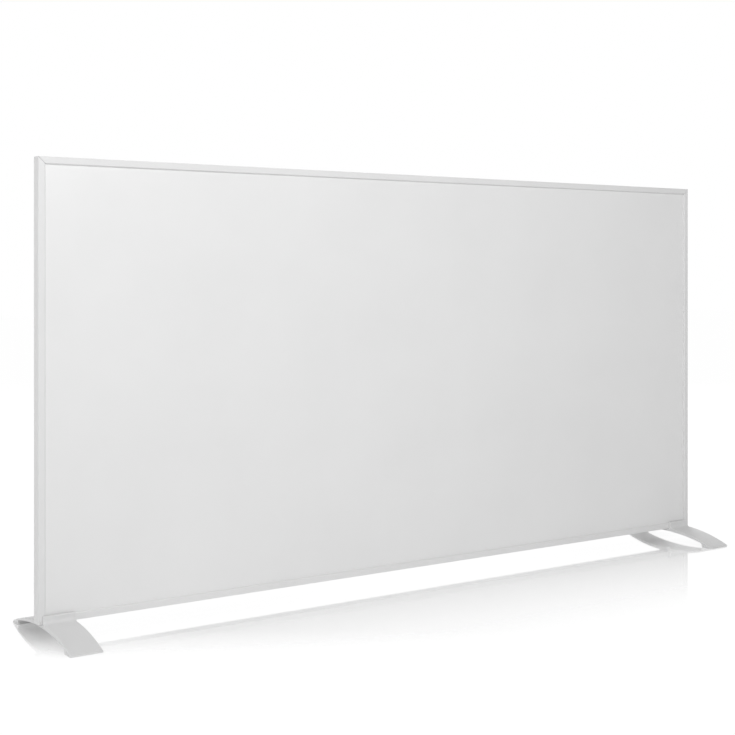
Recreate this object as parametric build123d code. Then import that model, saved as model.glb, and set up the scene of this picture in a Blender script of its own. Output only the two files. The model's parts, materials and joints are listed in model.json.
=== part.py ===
from build123d import *
from math import radians, sqrt, tan
import os

# An infrared panel heater that stands on two arched feet.
# X runs along the panel, the heating face looks to -Y, +Z is up and the floor is z = 0.
# The origin is on the floor under the middle of the panel. Every size is in millimetres.

# ---------------------------------------------------------------- driving dimensions

# Panel
panel_w = 1200.0
panel_h = 600.0
panel_t = 17.0
floor_gap = 20.0            # clear height under the panel

# Frame profile, the same on all four sides
frame_web = 1.4             # outer wall
lip_t = 1.4
lip_w = 9.5                 # reach of a lip over the sheets
bead_w = 1.5                # thicker inner edge of a lip
bead_chamfer = 1.2
sheet_recess = 2.5          # from a lip's outer face to the sheet behind it
frame_edge_r = 0.8
mitre_gap = 0.4

# Corner keys inside the frame
key_t = 2.6
key_rise = 30.0             # length of the upright leg
key_gap = 0.2
corner_head_r = 3.8
corner_head_h = 1.8

# Layers between the lips, from the heated side to the back
front_t = 0.8
laminate_t = 1.2
foil_t = 0.3
back_t = 0.6
bus_w = 12.0
bus_t = 0.3
bus_margin = 12.0           # from the laminate's edge to a bus bar
foil_margin = 8.0           # keeps the foil off the bus bars

# Wiring inside the panel
wire_r = 1.2
wire_bend = 3.2
wire_clear = 0.5
pole_pitch = 7.5
cutout_w = 9.0
cutout_h = 22.0
cutout_t = 4.4
cutout_rise = 150.0         # from the lead entry up to the lower thermal cut-out
cutout_drop = 110.0         # from the upper bus bar down to the upper one

# Wall mounting
wall_pitch_x = 900.0
wall_pitch_z = 320.0
wall_over_box = 30.0        # from the control box up to the lower two inserts
insert_bore_r = 2.1
insert_r = 3.5
insert_len = 7.5
insert_flange_r = 5.0
insert_flange_t = 0.8

# Feet
foot_w = 44.0
foot_inset = 5.0            # from the panel's end to the foot's outer side
foot_tip = 103.0            # half length of the arch
foot_crest = 20.8           # height that the top curve has over the panel's middle
toe_end = 1.6               # thickness that the arch keeps at its tips
toe_flat = 19.0             # sole at each end of the arch
toe_rise = 6.0              # height of the hollow where it meets a toe
toe_root_r = 5.0
toe_r = 2.5                 # plan radius of a toe's corners
foot_top_r = 1.4            # along the edges that show from above
foot_low_r = 0.5
foot_fit = 0.15             # between the panel and the foot's two cheeks
saddle_t = 4.5              # under the panel, down to the hollow
cheek_t = 3.0
cheek_rise = 11.0           # how far the cheeks cover the panel
cheek_r = 1.45
cheek_root_r = 6.0          # blends a cheek into the arch
foot_screw_pitch = 24.0
foot_screw_r = 2.0
foot_head_r = 3.8
foot_head_h = 2.3
counterbore = 2.5
pad_len = 10.0
pad_t = 1.2
pad_proud = 0.3
pad_side = 4.0              # from a foot's side to its pad
pad_back = 1.5              # from the sole's inner edge to the pad

# Fits
hole_gap = 0.25             # round a screw that passes through
thread_gap = 0.05           # round a screw that holds
loose = 0.3                 # between pieces that move past each other

# Control box on the back
box_from_end = 60.0
box_from_bottom = 30.0
cover_wall = 2.0
box_corner_r = 8.0
box_edge_r = 2.5
base_t = 2.5
rib_t = 1.5
rib_h = 3.0
rib_share_x = 40.0
rib_share_z = 44.0
gland_zone = 14.0           # clear of the board over the lower wall
lead_zone = 32.0            # clear of the board under the upper wall
board_side_gap = 6.0
post_inset = 9.0
post_r = 4.0
post_floor = 3.0
cover_screw_r = 1.5
small_head_r = 2.8
small_head_h = 2.0
base_screw_inset = 55.0

# Circuit board and what it carries, in columns from the board's left end
board_t = 1.6
part_gap = 6.0              # between one column and the next
board_foot = 9.0            # from the board's lower edge to the power supply
board_end = 9.0             # from the last column to the board's right end
board_post_h = 5.5
board_post_r = 3.2
board_screw_inset = 5.0
board_screw_r = 1.1
relay_w = 15.5
relay_d = 19.0
relay_h = 15.0
relay_gap = 1.0             # between the tallest piece and the cover
supply_w = 20.0
supply_d = 34.0
supply_h = 14.0
term_d = 14.0
term_h = 13.0
lead_rise = 16.0            # height of the lead entry over the board
fuse_w = 9.0
fuse_d = 5.0
fuse_h = 8.0
cap_r = 4.0
cap_h = 11.0
chip_w = 9.0
chip_t = 1.2
tilt_w = 10.0
tilt_h = 8.0
sensor_r = 1.6
sensor_len = 10.0

# Display, buttons and light
display_w = 46.0
display_h = 20.0
display_gap = 0.6           # from the display to its window
window_margin = 3.0         # rebate round the display opening
window_t = 1.4
display_side = 4.0          # from the terminal block to the display
display_margin = 8.0        # from the display to the board's upper edge
button_pitch = 17.0
button_row_gap = 12.5       # from the display down to the buttons
button_w = 11.0
button_h = 7.0
button_r = 1.0
button_proud = 1.2
button_travel = 0.8
button_flange = 1.2
sleeve_t = 1.2
sleeve_h = 3.0
stem_r = 2.0
tact_w = 6.0
tact_h = 3.6
tact_pin_r = 1.7
tact_pin_h = 1.0
tact_gap = 0.1              # left between stem and switch when a button is fully in
light_r = 1.5
light_led_h = 1.5

# Rocker switch in the side wall
switch_depth = 15.0
switch_gap = 5.0            # from the board to the switch
switch_d = 18.8
switch_w = 12.8
switch_wall = 1.2
bezel_t = 2.0
bezel_lip = 1.1
switch_rise = 70.0          # height of its middle over the box's lower face
rocker_r = 8.0
rocker_tilt = 10.0          # degrees either side of level
rocker_crown = 2.0          # over the pivot
rocker_belly = 2.5          # under the pivot
pivot_depth = 1.5           # pivot below the wall's outer face
trunnion_r = 1.0
trunnion_len = 1.0
trunnion_gap = 0.05
well_depth = 4.6            # under the pivot
blade_w = 4.8
blade_t = 0.8
blade_len = 4.0

# Cable entry
gland_from_side = 25.0
cord_bore_r = 3.6
gland_stem_r = 6.0
gland_flange_r = 8.6
gland_flange_t = 4.0
gland_nut_t = 4.0
gland_spare = 4.0           # thread past the nut
gland_skirt = 8.0           # thread under the flange
gland_cap_r = 8.0
gland_cap_wall = 1.8
seal_len = 3.0

# Lead entry and earth point
grommet_bore_r = 6.0
grommet_neck_r = 7.6
grommet_flange_r = 9.6
grommet_flange_t = 1.2
earth_from_lead = 28.0
earth_r = 2.0
tag_r = 4.6
tag_t = 0.8
tag_barrel_r = 1.8
tag_barrel_len = 6.0

# Vents
vent_w = 2.0
vent_h = 10.0
vent_pitch = 5.0
vent_count = 6

# ---------------------------------------------------------------- places worked out from them

half_w = panel_w / 2
half_t = panel_t / 2
bottom = floor_gap
top = floor_gap + panel_h
layer_inset = frame_web + key_t + key_gap
inside_x = half_w - layer_inset
inside_z = (bottom + layer_inset, top - layer_inset)

front_face_y = -half_t + sheet_recess
laminate_y = front_face_y + front_t
foil_y = laminate_y + laminate_t
board_front_y = foil_y + foil_t
back_face_y = half_t - sheet_recess
back_inner_y = back_face_y - back_t
wire_y = back_inner_y - grommet_flange_t - wire_clear - wire_r

bus_low_z = inside_z[0] + bus_margin + bus_w / 2
bus_high_z = inside_z[1] - bus_margin - bus_w / 2
bus_half = inside_x - bus_margin

foot_mid_x = half_w - foot_inset - foot_w / 2
key_reach = foot_inset + foot_w - frame_web
sole_half = foot_tip - toe_flat
pad_mid_y = sole_half + pad_back + pad_len / 2
foot_screw_xs = [s * foot_mid_x + d * foot_screw_pitch / 2 for s in (-1, 1) for d in (-1, 1)]

term_w = 3 * pole_pitch + 2 * lip_t
display_reach = term_w / 2 + display_side + display_w / 2
light_reach = 2.5 * button_pitch
button_drop = display_h / 2 + button_row_gap + button_h / 2
left_columns = part_gap + supply_w + part_gap + fuse_w / 2
right_columns = relay_w / 2 + part_gap + tilt_w + board_end
board_w = left_columns + display_reach + light_reach + right_columns
board_h = display_margin + display_h / 2 + button_drop + supply_d / 2 + board_foot

base_y = back_face_y + base_t
board_y = base_y + board_post_h
mount_y = board_y + board_t                 # face that the components stand on
cover_inner_y = mount_y + relay_h + relay_gap
cover_y = cover_inner_y + cover_wall
box_w = cover_wall + board_side_gap + board_w + switch_gap + switch_depth
box_h = cover_wall + gland_zone + board_h + lead_zone + cover_wall
box_x1 = half_w - box_from_end
box_x0 = box_x1 - box_w
box_z0 = bottom + box_from_bottom
box_z1 = box_z0 + box_h
wall_z = box_z1 + wall_over_box + wall_pitch_z / 2
box_mid = ((box_x0 + box_x1) / 2, (box_z0 + box_z1) / 2)

board_x0 = box_x0 + cover_wall + board_side_gap
board_x1 = board_x0 + board_w
board_z0 = box_z0 + cover_wall + gland_zone
board_z1 = board_z0 + board_h
cap_x = board_x0 + left_columns
display_x = cap_x + display_reach
display_z = board_z1 - display_margin - display_h / 2
display_top_y = cover_y - window_t - display_gap
button_z = display_z - button_drop
button_xs = [display_x + (i - 1.5) * button_pitch for i in range(4)]
light_x = display_x + light_reach
tact_top_y = mount_y + tact_h + tact_pin_h

line_x = cap_x - pole_pitch
neutral_x = cap_x
earth_pole_x = cap_x + pole_pitch
entry_x = (line_x + neutral_x) / 2          # the lead entry, midway between the mains leads
lead_z = board_z1 + lead_rise
lead_in_y = mount_y + term_h / 2
earth_x = entry_x + earth_from_lead
tilt_x = board_x1 - board_end - tilt_w / 2
gland_x = box_x0 + gland_from_side
gland_y = (base_y + cover_inner_y) / 2
switch_y = (base_y + cover_inner_y) / 2
switch_z = box_z0 + switch_rise
pivot_x = box_x1 - pivot_depth


# ---------------------------------------------------------------- shapes used more than once

def block(x, y, z):
    """A box between a low and a high limit on each axis."""
    sizes = [hi - lo for lo, hi in (x, y, z)]
    middle = [(hi + lo) / 2 for lo, hi in (x, y, z)]
    return Pos(*middle) * Box(*sizes)


def centred(x, z, w, h, y):
    """A box of width w and height h about (x, z), between two limits on Y."""
    return block((x - w / 2, x + w / 2), y, (z - h / 2, z + h / 2))


def rod_y(r, x, z, y):
    """A round bar along Y between two limits."""
    return Pos(x, (y[0] + y[1]) / 2, z) * Rot(90, 0, 0) * Cylinder(r, y[1] - y[0])


def rod_z(r, x, y, z):
    """A round bar along Z between two limits."""
    return Pos(x, y, (z[0] + z[1]) / 2) * Cylinder(r, z[1] - z[0])


def plate_y(x, z, w, h, r, y):
    """A plate with rounded corners about (x, z), between two limits on Y."""
    outline = Pos(x, y[1], z) * Rot(90, 0, 0) * RectangleRounded(w, h, r)
    return extrude(outline, y[1] - y[0])


def pan_screw(r, head_r, head_h, length):
    """A pan head screw that points down, with the seat of its head at z = 0."""
    head = Pos(0, 0, head_h / 2) * Cylinder(head_r, head_h)
    head = fillet(head.edges().group_by(Axis.Z)[-1], head_h * 0.4)
    slot = head_r * 0.25
    cross = Pos(0, 0, head_h) * (Box(head_r, slot, head_h) + Box(slot, head_r, head_h))
    return head - cross + Pos(0, 0, -length / 2) * Cylinder(r, length)


def flat_screw(r, head_r, head_h, length, recess=True):
    """A countersunk screw that points down, with its face at z = 0."""
    body = Pos(0, 0, -head_h / 2) * Cone(r, head_r, head_h) + Pos(0, 0, -length / 2) * Cylinder(r, length)
    slot = head_r * 0.25
    cross = Box(head_r, slot, head_h) + Box(slot, head_r, head_h)
    return body - cross if recess else body


def wire(points):
    """A round lead along straight runs that are joined by arcs."""
    path = FilletPolyline(*points, radius=wire_bend) if len(points) > 2 else Line(*points)
    return sweep(Plane(origin=path @ 0, z_dir=path % 0) * Circle(wire_r), path)


def wire_slot(x, z0, z1):
    """The channel that a lead takes up the back of the insulation board."""
    half = wire_r + wire_clear
    return block((x - half, x + half), (wire_y - half, back_inner_y), (z0 - half, z1 + half))


parts = {}

# ---------------------------------------------------------------- frame

def frame_member(length):
    """A mitred length of profile along X, with its outer face at z = 0 and its lips rising."""
    half = [
        (half_t, 0),
        (half_t, lip_w - bead_chamfer),
        (half_t - bead_chamfer, lip_w),
        (half_t - sheet_recess, lip_w),
        (half_t - sheet_recess, lip_w - bead_w),
        (half_t - lip_t, lip_w - bead_w),
        (half_t - lip_t, frame_web),
    ]
    outline = half + [(-y, z) for y, z in reversed(half)]
    section = make_face(Polyline(*outline, close=True))
    section = fillet(section.vertices().group_by(Axis.Y)[0], frame_edge_r)
    bar = extrude(Plane.YZ * section, length / 2, both=True)
    end = length / 2 - mitre_gap / sqrt(2)
    mitre = make_face(Polyline((-end, 0), (end, 0), (end - lip_w, lip_w), (lip_w - end, lip_w), close=True))
    return bar & extrude(Plane.XZ * mitre, panel_t, both=True)


def frame_turned(length, x, z, turn):
    return Pos(x, 0, z) * Rot(0, turn, 0) * frame_member(length)


corner_len = frame_web + key_t
corner_hole = flat_screw(
    foot_screw_r + hole_gap, corner_head_r + hole_gap, corner_head_h, corner_len, recess=False
)
top_frame = frame_turned(panel_w, 0, top, 180)
bottom_frame = frame_turned(panel_w, 0, bottom, 0)
for x in foot_screw_xs:
    top_frame -= Pos(x, 0, top) * corner_hole
    bottom_frame -= rod_z(foot_screw_r + hole_gap, x, 0, (bottom - frame_web, bottom + 2 * frame_web))
parts["frame_top"] = top_frame
parts["frame_bottom"] = bottom_frame
parts["frame_left"] = frame_turned(panel_h, -half_w, bottom + panel_h / 2, 90)
parts["frame_right"] = frame_turned(panel_h, half_w, bottom + panel_h / 2, -90)


def corner_key(side, level):
    """An angle in a frame corner; side is -1 or 1 along X, level is -1 at the bottom and 1 at the top."""
    outline = [(0, 0), (key_reach, 0), (key_reach, key_t), (key_t, key_t), (key_t, key_rise), (0, key_rise)]
    start_x = side * (half_w - frame_web)
    start_z = bottom + frame_web if level < 0 else top - frame_web
    placed = [(start_x - side * u, start_z - level * v) for u, v in outline]
    key = extrude(Plane.XZ * make_face(Polyline(*placed, close=True)), half_t - lip_t - key_gap, both=True)
    for x in foot_screw_xs:
        if x * side > 0 and level < 0:
            key -= rod_z(foot_screw_r + thread_gap, x, 0, (start_z - key_t, start_z + 2 * key_t))
        elif x * side > 0:
            key -= Pos(x, 0, top) * corner_hole
            key -= rod_z(foot_screw_r + thread_gap, x, 0, (start_z - 2 * key_t, start_z + key_t))
    return key


for side, side_name in ((-1, "left"), (1, "right")):
    for level, level_name in ((-1, "bottom"), (1, "top")):
        parts[f"corner_key_{level_name}_{side_name}"] = corner_key(side, level)

corner_screw = flat_screw(foot_screw_r, corner_head_r, corner_head_h, corner_len)
parts["corner_screws"] = [Pos(x, 0, top) * corner_screw for x in foot_screw_xs]

# ---------------------------------------------------------------- layers of the panel

parts["front_panel"] = block((-inside_x, inside_x), (front_face_y, laminate_y), inside_z)

laminate = block((-inside_x, inside_x), (laminate_y, foil_y), inside_z)
for z, bar_name in ((bus_low_z, "lower"), (bus_high_z, "upper")):
    bar = block((-bus_half, bus_half), (foil_y - bus_t, foil_y), (z - bus_w / 2, z + bus_w / 2))
    laminate -= bar
    parts[f"bus_bar_{bar_name}"] = bar
parts["heating_laminate"] = laminate

foil_z = (bus_low_z + bus_w / 2 + foil_margin, bus_high_z - bus_w / 2 - foil_margin)
parts["reflector_foil"] = block((-bus_half, bus_half), (foil_y, board_front_y), foil_z)

wall_points = [
    (sx * wall_pitch_x / 2, wall_z + sz * wall_pitch_z / 2) for sx in (-1, 1) for sz in (-1, 1)
]
cutout_zs = (lead_z + cutout_rise, bus_high_z - cutout_drop)
base_points = [
    (x, z)
    for x in (box_x0 + base_screw_inset, box_x1 - base_screw_inset)
    for z in (box_z0 + post_inset, box_z1 - post_inset)
]
post_points = [
    (x, z)
    for x in (box_x0 + post_inset, box_x1 - post_inset)
    for z in (box_z0 + post_inset, box_z1 - post_inset)
]

insulation = block((-inside_x, inside_x), (board_front_y, back_inner_y), inside_z)
insulation -= wire_slot(line_x, lead_z, bus_high_z)
insulation -= wire_slot(neutral_x, bus_low_z, lead_z)
through = (board_front_y, back_inner_y)
for x, z in ((line_x, bus_high_z), (neutral_x, bus_low_z)):
    insulation -= rod_y(wire_r + 2 * wire_clear, x, z, through)
pocket = (cutout_w + 2 * wire_clear, cutout_h + 2 * wire_clear)
for z in cutout_zs:
    insulation -= centred(line_x, z, *pocket, (back_inner_y - cutout_t, back_inner_y))
for x, z in wall_points:
    insulation -= rod_y(insert_r + wire_clear, x, z, through)
for x, z in base_points + post_points + [(earth_x, lead_z)]:
    insulation -= rod_y(earth_r + wire_clear, x, z, through)
entry = (wire_y - wire_r - wire_bend, back_inner_y)
insulation -= rod_y(grommet_flange_r + wire_clear, entry_x, lead_z, entry)
parts["insulation_board"] = insulation

plate_layer = (back_inner_y, back_face_y)
back_plate = block((-inside_x, inside_x), plate_layer, inside_z)
for x, z in wall_points:
    back_plate -= rod_y(insert_r, x, z, plate_layer)
for x, z in base_points + post_points:
    back_plate -= rod_y(cover_screw_r + thread_gap, x, z, plate_layer)
back_plate -= rod_y(earth_r + thread_gap, earth_x, lead_z, plate_layer)
back_plate -= rod_y(grommet_neck_r, entry_x, lead_z, plate_layer)
parts["back_plate"] = back_plate


def wall_insert(x, z):
    """A threaded sleeve with its flange on the back plate."""
    end_y = back_face_y + insert_flange_t
    flange = rod_y(insert_flange_r, x, z, (back_face_y, end_y))
    sleeve = rod_y(insert_r, x, z, (back_face_y - insert_len, back_face_y))
    return flange + sleeve - rod_y(insert_bore_r, x, z, (back_face_y - insert_len, end_y))


parts["wall_mount_inserts"] = [wall_insert(x, z) for x, z in wall_points]

# ---------------------------------------------------------------- leads and thermal cut-outs

for z, cutout_name in zip(cutout_zs, ("lower", "upper")):
    body = centred(line_x, z, cutout_w, cutout_h, (back_inner_y - cutout_t, back_inner_y))
    parts[f"thermal_cutout_{cutout_name}"] = fillet(body.edges().filter_by(Axis.Y), cutout_w * 0.2)

cutout_ends = [z + s * cutout_h / 2 for z in cutout_zs for s in (-1, 1)]
term_top = (lead_in_y, board_z1)
parts["line_lead"] = [
    wire([(line_x, foil_y, bus_high_z), (line_x, wire_y, bus_high_z), (line_x, wire_y, cutout_ends[3])]),
    wire([(line_x, wire_y, cutout_ends[2]), (line_x, wire_y, cutout_ends[1])]),
    wire([(line_x, wire_y, cutout_ends[0]), (line_x, wire_y, lead_z), (line_x, lead_in_y, lead_z),
          (line_x, *term_top)]),
]
parts["neutral_lead"] = wire([
    (neutral_x, foil_y, bus_low_z), (neutral_x, wire_y, bus_low_z), (neutral_x, wire_y, lead_z),
    (neutral_x, lead_in_y, lead_z), (neutral_x, *term_top),
])

grommet_y = (back_inner_y - grommet_flange_t, back_face_y + grommet_flange_t)
grommet = rod_y(grommet_flange_r, entry_x, lead_z, (grommet_y[0], back_inner_y))
grommet += rod_y(grommet_flange_r, entry_x, lead_z, (back_face_y, grommet_y[1]))
grommet += rod_y(grommet_neck_r, entry_x, lead_z, grommet_y)
parts["lead_grommet"] = grommet - rod_y(grommet_bore_r, entry_x, lead_z, grommet_y)

# ---------------------------------------------------------------- control box

base_layer = (back_face_y, base_y)
base = plate_y(*box_mid, box_w, box_h, box_corner_r, base_layer)
rib_layer = (back_face_y, base_y + rib_h)
rib_x = box_w / 2 - cover_wall - key_gap - rib_t / 2
rib_z = box_h / 2 - cover_wall - key_gap - rib_t / 2
for s in (-1, 1):
    base += centred(box_mid[0] + s * rib_x, box_mid[1], rib_t, rib_share_z, rib_layer)
    base += centred(box_mid[0], box_mid[1] + s * rib_z, rib_share_x, rib_t, rib_layer)
board_points = [
    (x, z)
    for x in (board_x0 + board_screw_inset, board_x1 - board_screw_inset)
    for z in (board_z0 + board_screw_inset, board_z1 - board_screw_inset)
]
for x, z in board_points:
    base += rod_y(board_post_r, x, z, (back_face_y, board_y))
    base -= rod_y(board_screw_r + thread_gap, x, z, (back_face_y, board_y))
for x, z in base_points:
    base -= rod_y(cover_screw_r + hole_gap, x, z, base_layer)
for x, z in post_points:
    base -= rod_y(cover_screw_r + thread_gap, x, z, base_layer)
base -= rod_y(earth_r + hole_gap, earth_x, lead_z, base_layer)
base -= rod_y(grommet_flange_r + wire_clear, entry_x, lead_z, base_layer)
parts["control_base"] = base

cover = plate_y(*box_mid, box_w, box_h, box_corner_r, (base_y, cover_y))
cover = fillet(cover.edges().group_by(Axis.Y)[-1], box_edge_r)
inner_r = box_corner_r - cover_wall
inner = plate_y(*box_mid, box_w - 2 * cover_wall, box_h - 2 * cover_wall, inner_r, (base_y, cover_inner_y))
cover -= inner
for x, z in post_points:
    cover += rod_y(post_r, x, z, (base_y, cover_inner_y))
    cover -= rod_y(cover_screw_r + hole_gap, x, z, (base_y, cover_y))
    cover -= rod_y(small_head_r + hole_gap, x, z, (base_y + post_floor, cover_y))
face = (cover_inner_y, cover_y)
window_w = display_w + 2 * window_margin
window_h = display_h + 2 * window_margin
cover -= centred(display_x, display_z, display_w, display_h, face)
cover -= plate_y(display_x, display_z, window_w, window_h, window_margin, (cover_y - window_t, cover_y))
sleeve_y = cover_inner_y - sleeve_h
for x in button_xs:
    hole = (button_w + 2 * loose, button_h + 2 * loose, button_r + loose)
    sleeve = (hole[0] + 2 * sleeve_t, hole[1] + 2 * sleeve_t, hole[2] + sleeve_t)
    cover += plate_y(x, button_z, *sleeve, (sleeve_y, cover_inner_y))
    cover -= plate_y(x, button_z, *hole, (sleeve_y, cover_y))
cover -= rod_y(light_r + thread_gap, light_x, button_z, face)
cover -= block(
    (box_x1 - cover_wall, box_x1),
    (switch_y - switch_w / 2 - thread_gap, switch_y + switch_w / 2 + thread_gap),
    (switch_z - switch_d / 2 - thread_gap, switch_z + switch_d / 2 + thread_gap),
)
cover -= rod_z(gland_stem_r + thread_gap, gland_x, gland_y, (box_z0, box_z0 + cover_wall))
vent_x0 = light_x - (vent_count - 1) * vent_pitch / 2
vent_y = (gland_y - vent_h / 2, gland_y + vent_h / 2)
for i in range(vent_count):
    x = vent_x0 + i * vent_pitch
    for z in (box_z0, box_z1 - cover_wall):
        cover -= block((x - vent_w / 2, x + vent_w / 2), vent_y, (z, z + cover_wall))
parts["control_cover"] = cover


def screws_y(points, seat_y, r, head_r, head_h, length):
    """Pan head screws that point to -Y, with their heads seated at one depth."""
    screw = Rot(-90, 0, 0) * pan_screw(r, head_r, head_h, length)
    return [Pos(x, seat_y, z) * screw for x, z in points]


small = (cover_screw_r, small_head_r, small_head_h)
parts["cover_screws"] = screws_y(post_points, base_y + post_floor, *small, post_floor + base_t + back_t)
parts["base_screws"] = screws_y(base_points, base_y, *small, base_t + back_t + frame_web)
parts["display_window"] = plate_y(
    display_x, display_z, window_w - 2 * thread_gap, window_h - 2 * thread_gap, window_margin - thread_gap,
    (cover_y - window_t, cover_y - thread_gap),
)

# ---------------------------------------------------------------- circuit board

board = block((board_x0, board_x1), (board_y, mount_y), (board_z0, board_z1))
for x, z in board_points:
    board -= rod_y(board_screw_r + hole_gap, x, z, (board_y, mount_y))
parts["circuit_board"] = board
board_head = (board_screw_r, board_screw_r * 2, board_screw_r * 1.2)
parts["board_screws"] = screws_y(board_points, mount_y, *board_head, board_t + board_post_h)


def on_board(x, z, w, h, height):
    """A component of width w and height h over the board's face, standing away from it."""
    return centred(x, z, w, h, (mount_y, mount_y + height))


module_h = display_top_y - mount_y
parts["display_module"] = on_board(display_x, display_z, display_w - loose, display_h - loose, module_h)
parts["relay"] = on_board(light_x, display_z, relay_w, relay_d, relay_h)
parts["power_supply"] = on_board(board_x0 + part_gap + supply_w / 2, button_z, supply_w, supply_d, supply_h)
parts["capacitor"] = rod_y(cap_r, cap_x, button_z - cap_r, (mount_y, mount_y + cap_h))
parts["fuse"] = on_board(cap_x, button_z + 2 * cap_r + loose, fuse_w, fuse_d, fuse_h)
chip_z = (button_z - tact_w / 2 + board_z0) / 2
parts["controller_chip"] = on_board(display_x, chip_z, chip_w, chip_w, chip_t)
parts["tilt_switch"] = on_board(tilt_x, button_z, tilt_w, tilt_w, tilt_h)
parts["room_sensor"] = rod_z(
    sensor_r, light_x, mount_y + sensor_r, (board_z0 - sensor_len / 2, board_z0 + sensor_len / 2)
)
parts["status_led"] = on_board(light_x, button_z, 2 * light_r, 2 * light_r, light_led_h)
parts["light_pipe"] = rod_y(light_r, light_x, button_z, (mount_y + light_led_h, cover_y + thread_gap))

terminal = on_board(cap_x, board_z1 - term_d / 2, term_w, term_d, term_h)
pole_r = wire_r + wire_clear
for x in (line_x, neutral_x, earth_pole_x):
    terminal -= rod_y(pole_r, x, board_z1 - term_d / 2, (lead_in_y, mount_y + term_h))
    terminal -= rod_z(pole_r, x, lead_in_y, (board_z1 - term_d, board_z1 - term_d * 0.7))
parts["terminal_block"] = terminal

# Earth lead from the block to a tag on the back plate
tag_y = base_y + tag_barrel_r
barrel_x0 = earth_x - tag_r - tag_barrel_len + tag_t
tag = rod_y(tag_r, earth_x, lead_z, (base_y, base_y + tag_t))
barrel_mid = Pos(barrel_x0 + tag_barrel_len / 2, tag_y, lead_z)
tag += barrel_mid * Rot(0, 90, 0) * Cylinder(tag_barrel_r, tag_barrel_len)
tag -= rod_y(earth_r + thread_gap, earth_x, lead_z, (base_y, base_y + 2 * tag_barrel_r))
parts["earth_tag"] = tag
parts["earth_lead"] = wire([
    (earth_pole_x, *term_top), (earth_pole_x, lead_in_y, lead_z), (earth_pole_x, tag_y, lead_z),
    (barrel_x0, tag_y, lead_z),
])
earth_len = tag_t + base_t + back_t + frame_web
earth_sizes = (earth_r, tag_r * 0.8, small_head_h, earth_len)
parts["earth_screw"] = screws_y([(earth_x, lead_z)], base_y + tag_t, *earth_sizes)

# ---------------------------------------------------------------- buttons

button_names = ("power", "minus", "plus", "mode")
flange_y = (sleeve_y - loose - button_flange, sleeve_y - loose)
stem_y = (tact_top_y + button_travel + tact_gap, flange_y[1])
for x, button_name in zip(button_xs, button_names):
    cap = plate_y(x, button_z, button_w, button_h, button_r, (flange_y[0], cover_y + button_proud))
    cap = fillet(cap.edges().group_by(Axis.Y)[-1], button_proud * 0.4)
    cap += centred(x, button_z, button_w + 2 * sleeve_t, button_h + 2 * sleeve_t, flange_y)
    parts[f"button_{button_name}"] = cap + rod_y(stem_r, x, button_z, stem_y)
parts["tact_switches"] = [
    on_board(x, button_z, tact_w, tact_w, tact_h)
    + rod_y(tact_pin_r, x, button_z, (mount_y + tact_h, tact_top_y))
    for x in button_xs
]

# ---------------------------------------------------------------- rocker switch

well_d = 2 * (rocker_r + loose)
well_w = switch_w - 2 * switch_wall
switch_x0 = box_x1 - switch_depth


def switch_block(x, w, d):
    """A box across the side wall, w deep along Y and d tall, about the switch's middle."""
    return block(x, (switch_y - w / 2, switch_y + w / 2), (switch_z - d / 2, switch_z + d / 2))


bezel = switch_block((box_x1, box_x1 + bezel_t), switch_w + 2 * bezel_lip, switch_d + 2 * bezel_lip)
bezel = fillet(bezel.edges().group_by(Axis.X)[-1], bezel_t * 0.3)
switch = switch_block((switch_x0, box_x1), switch_w, switch_d) + bezel
switch -= switch_block((pivot_x - well_depth, box_x1 + bezel_t), well_w, well_d)
across = switch_w / 2 + bezel_lip
switch -= rod_y(trunnion_r + trunnion_gap, pivot_x, switch_z, (switch_y - across, switch_y + across))
parts["switch_body"] = switch
parts["switch_blades"] = [
    block(
        (switch_x0 - blade_len, switch_x0),
        (switch_y - blade_t / 2, switch_y + blade_t / 2),
        (z - blade_w / 2, z + blade_w / 2),
    )
    for z in (switch_z - switch_d / 4, switch_z + switch_d / 4)
]

# The rocker about its own pivot, with its see-saw along Z and its faces towards +X
rocker_w = well_w - 2 * loose
rise = rocker_r * tan(radians(rocker_tilt))
faces = make_face(Polyline(
    (-rocker_belly, -rocker_r), (-rocker_belly, rocker_r), (rocker_crown + rise, rocker_r),
    (rocker_crown, 0), (rocker_crown + rise, -rocker_r), close=True,
))
rocker = extrude(Plane.XZ * (faces & Circle(rocker_r)), rocker_w / 2, both=True)
rocker += Rot(90, 0, 0) * Cylinder(trunnion_r, rocker_w + 2 * trunnion_len)
parts["power_rocker"] = Pos(pivot_x, switch_y, switch_z) * Rot(0, -rocker_tilt, 0) * rocker

# ---------------------------------------------------------------- cable entry, with its bore open

flange_low = box_z0 - gland_flange_t
skirt_low = flange_low - gland_skirt
nut_top = box_z0 + cover_wall + gland_nut_t
stem_top = nut_top + gland_spare


def hexagon(z):
    """The hexagonal flange or nut of the gland between two limits on Z."""
    return extrude(Pos(gland_x, gland_y, z[0]) * RegularPolygon(gland_flange_r, 6), z[1] - z[0])


def gland_round(r, z):
    """A round bar on the gland's axis."""
    return rod_z(r, gland_x, gland_y, z)


seal_low = skirt_low - seal_len
cap_low = seal_low - gland_cap_wall
gland_bore = gland_round(cord_bore_r, (cap_low, stem_top))
gland = hexagon((flange_low, box_z0)) + gland_round(gland_stem_r, (skirt_low, stem_top))
parts["gland_body"] = gland - gland_bore
nut_z = (box_z0 + cover_wall, nut_top)
parts["gland_nut"] = hexagon(nut_z) - gland_round(gland_stem_r + thread_gap, nut_z)
parts["gland_seal"] = gland_round(gland_stem_r - thread_gap, (seal_low, skirt_low)) - gland_bore
gland_cap = gland_round(gland_cap_r, (cap_low, flange_low - key_gap))
gland_cap = fillet(gland_cap.edges().group_by(Axis.Z)[0], gland_cap_wall)
gland_cap -= gland_round(gland_stem_r + thread_gap, (seal_low, flange_low))
parts["gland_cap"] = gland_cap - gland_bore

# ---------------------------------------------------------------- feet

def arc_radius(half_span, height):
    return (half_span ** 2 + height ** 2) / (2 * height)


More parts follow.
